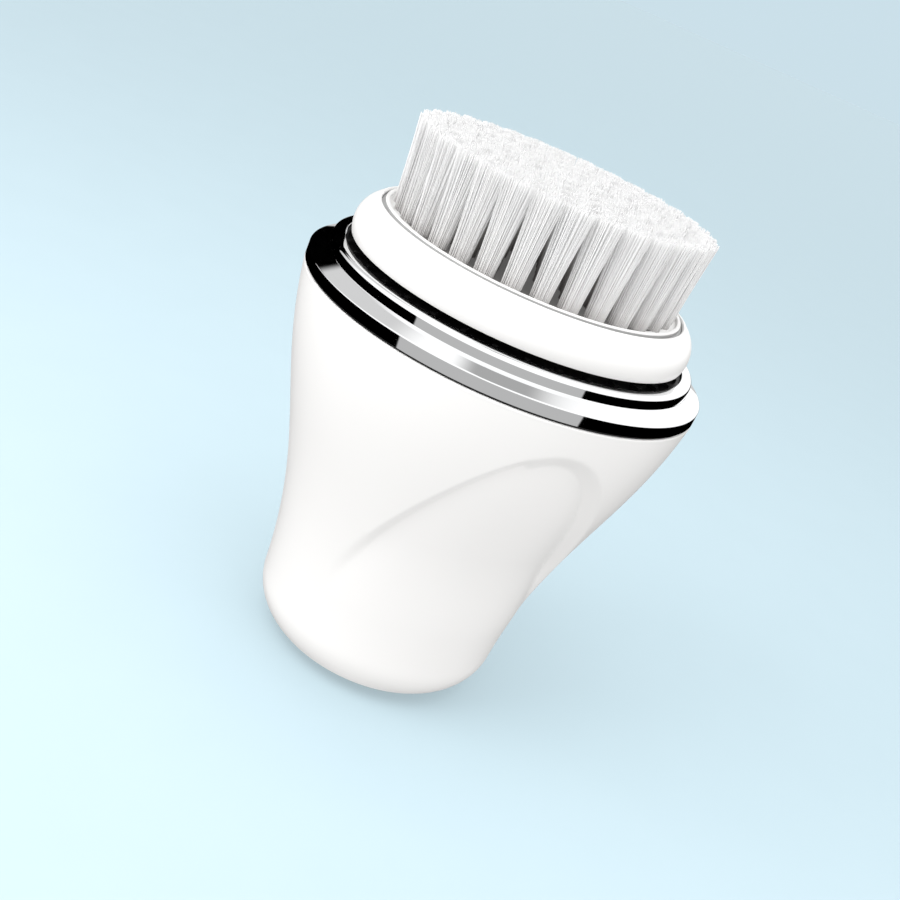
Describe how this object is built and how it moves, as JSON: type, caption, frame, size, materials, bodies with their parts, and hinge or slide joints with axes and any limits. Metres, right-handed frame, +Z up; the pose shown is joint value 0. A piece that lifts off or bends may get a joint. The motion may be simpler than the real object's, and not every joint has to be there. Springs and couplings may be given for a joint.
{
  "type": "facial cleansing brush",
  "caption": "Palm-sized rechargeable facial cleansing brush: flared cup body with grip hollows, plated collar and a turning pull-off head of nylon tufts.",
  "frame": {"origin": "middle of the flat foot, on the surface that it stands on", "axes": "+Z up along the turning axis to the tufts, +Y to the button and charging port, +X to one grip hollow"},
  "size_m": [0.062, 0.062, 0.0816],
  "materials": {
    "white_gloss": "smooth, softly glossy",
    "soft_white": "matt, soft",
    "chrome": "mirror plated",
    "black_plastic": "satin",
    "black_rubber": "matt",
    "steel": "bright",
    "frame_plastic": "moulded, natural",
    "white_nylon": "moulded",
    "brass": "turned",
    "copper": "wound, enamelled",
    "magnet": "sintered",
    "cell_wrap": "shrink film",
    "lead_black": "insulated",
    "lead_red": "insulated",
    "board_green": "solder mask",
    "clear_plastic": "clear moulded",
    "grey_plastic": "moulded",
    "tuft_nylon": "fine filaments"
  },
  "bodies": {
    "housing": {"body_shell": "white_gloss", "seam_gasket": "black_rubber", "chrome_collar": "chrome", "top_deck": "black_plastic", "deck_o_ring": "black_rubber", "shaft_seal": "black_rubber", "deck_screws": "steel", "gearbox_plate": "frame_plastic", "chassis_screws": "steel", "gearbox_cover": "frame_plastic", "cover_screws": "steel", "output_bush": "brass", "idler_axle": "steel", "motor_can": "steel", "motor_magnets": "magnet", "motor_end_cap": "white_nylon", "motor_terminals": "brass", "motor_screws": "steel", "inner_frame": "frame_plastic", "battery_cell": "cell_wrap", "battery_leads": "lead_black", "motor_leads": "lead_red", "circuit_board": "board_green", "board_chips": "black_plastic", "tact_switch": "black_plastic", "status_led": "clear_plastic", "board_screws": "steel", "charging_socket": "steel", "light_pipe": "clear_plastic", "button_ring": "chrome"},
    "motor_drive": {"motor_shaft": "steel", "motor_rotor": "copper", "motor_commutator": "copper", "motor_pinion": "brass"},
    "idler": {"idler_gear": "frame_plastic"},
    "drive": {"output_gear": "frame_plastic", "output_shaft": "steel", "shaft_clip": "steel"},
    "brush_head": {"head_shell": "white_gloss", "tuft_plate": "white_gloss", "drive_socket": "grey_plastic", "head_screws": "steel", "tufts_row_1": "tuft_nylon", "tufts_row_2": "tuft_nylon", "tufts_row_3": "tuft_nylon", "tufts_row_4": "tuft_nylon", "tufts_row_5": "tuft_nylon", "tuft_middle": "tuft_nylon"},
    "button": {"power_button": "white_gloss"},
    "flap": {"port_cover": "soft_white"}
  },
  "joints": [
    {"name": "brush_spin", "type": "hinge", "parent": "housing", "child": "drive", "pos_m": [0, 0, 0.058], "axis": [0, 0, 1], "continuous": true},
    {"name": "idler_spin", "type": "hinge", "parent": "housing", "child": "idler", "pos_m": [0.0115, 0, 0.05], "axis": [0, 0, 1], "continuous": true},
    {"name": "motor_spin", "type": "hinge", "parent": "housing", "child": "motor_drive", "pos_m": [0, 0, 0.03], "axis": [0, 0, 1], "continuous": true},
    {"name": "head_pull", "type": "slide", "parent": "drive", "child": "brush_head", "axis": [0, 0, 1], "range_m": [0, 0.02]},
    {"name": "button_press", "type": "slide", "parent": "housing", "child": "button", "axis": [0, -1, 0], "range_m": [0, 0.0005], "stiffness_N_per_m": 1500, "springref_m": -0.0005},
    {"name": "cover_open", "type": "hinge", "parent": "housing", "child": "flap", "pos_m": [0, 0.02045, 0.0106], "axis": [-1, 0, 0], "range_deg": [0, 105]}
  ],
  "couplings": [
    {"joint": "idler_spin", "follows": "brush_spin", "ratio": -3.6},
    {"joint": "motor_spin", "follows": "brush_spin", "ratio": 12.96}
  ]
}
